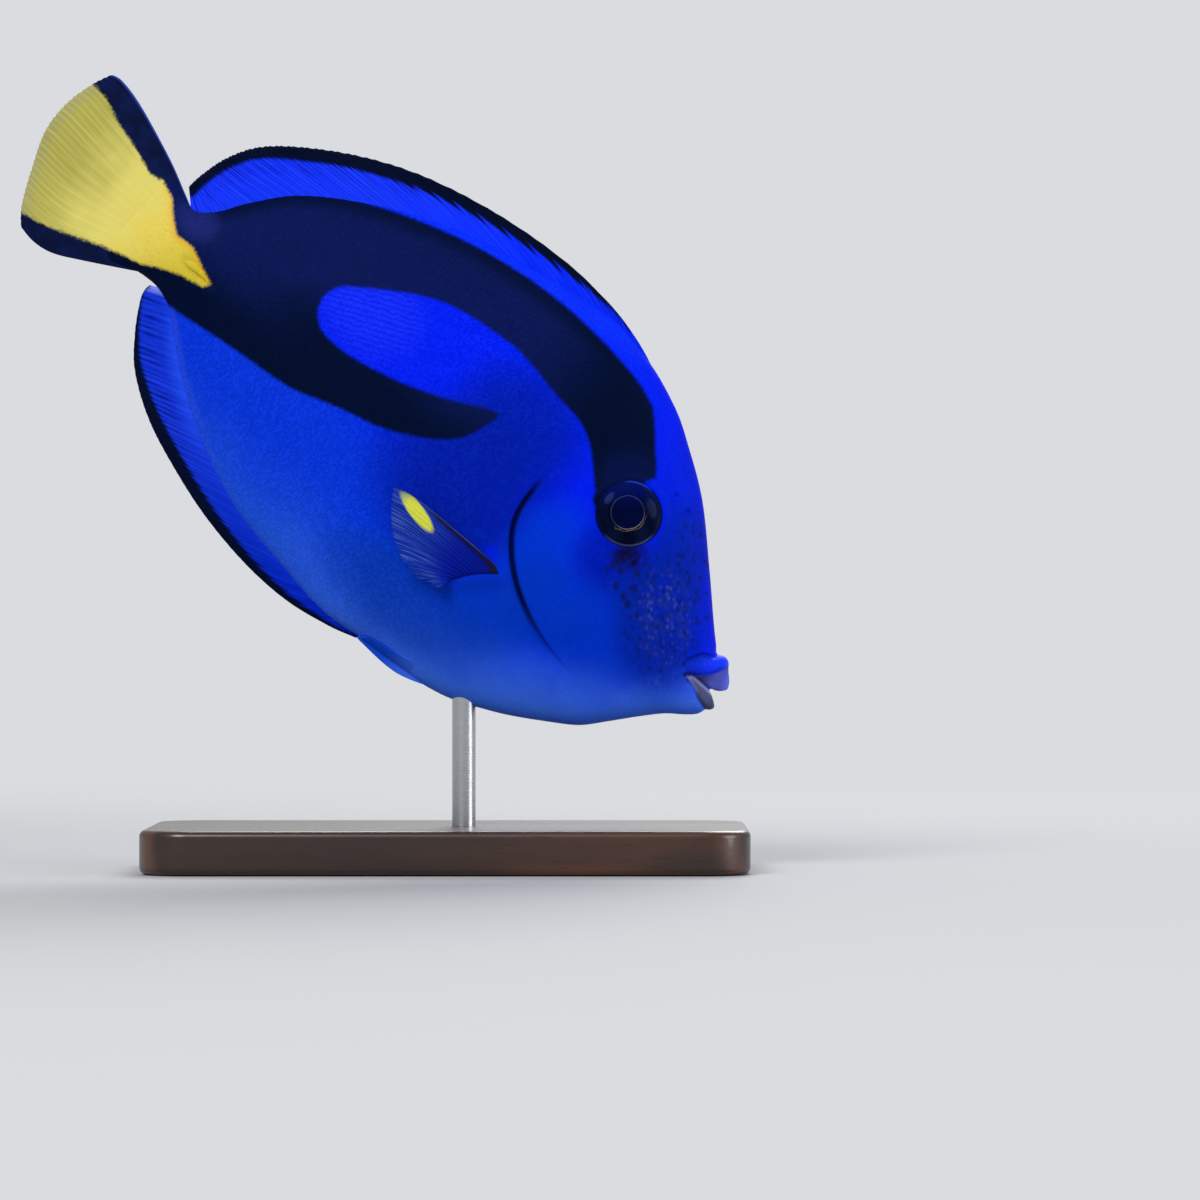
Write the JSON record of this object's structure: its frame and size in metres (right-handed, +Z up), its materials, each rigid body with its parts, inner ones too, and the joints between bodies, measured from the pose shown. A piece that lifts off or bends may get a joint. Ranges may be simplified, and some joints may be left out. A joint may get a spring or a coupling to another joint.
{
  "type": "regal blue tang",
  "caption": "Still life-size model of a regal blue tang swimming nose down, held by a rod on a flat display base.",
  "frame": {"origin": "middle of the underside of the display base", "axes": "+Z up, +X the way the fish heads, -Y the fish's right side; the fish is pitched 40 degrees nose down about Y"},
  "size_m": [0.1357, 0.062, 0.1481],
  "materials": {
    "skin": "royal blue fish skin with a near-black band, satin and finely grained",
    "eye": "dark navy eye with a thin gold ring, glossy",
    "blue_fin": "blue membrane with fine rays and a black edge, satin",
    "tail_fin": "yellow membrane with fine rays and black outer lobes, satin",
    "pale_fin": "thin violet-blue membrane with fine rays and a yellow tip, satin",
    "wood": "dark stained wood, satin lacquer",
    "steel": "brushed round bar"
  },
  "bodies": {
    "root": {"head": "skin", "upper_jaw": "skin", "lower_jaw": "skin", "trunk": "skin", "tail_stem": "skin", "eye_left": "eye", "eye_right": "eye", "dorsal_fin": "blue_fin", "anal_fin": "blue_fin", "caudal_fin": "tail_fin", "pectoral_fin_left": "pale_fin", "pectoral_fin_right": "pale_fin", "pelvic_fin_left": "pale_fin", "pelvic_fin_right": "pale_fin", "stand_base": "wood", "stand_rod": "steel"}
  },
  "joints": []
}
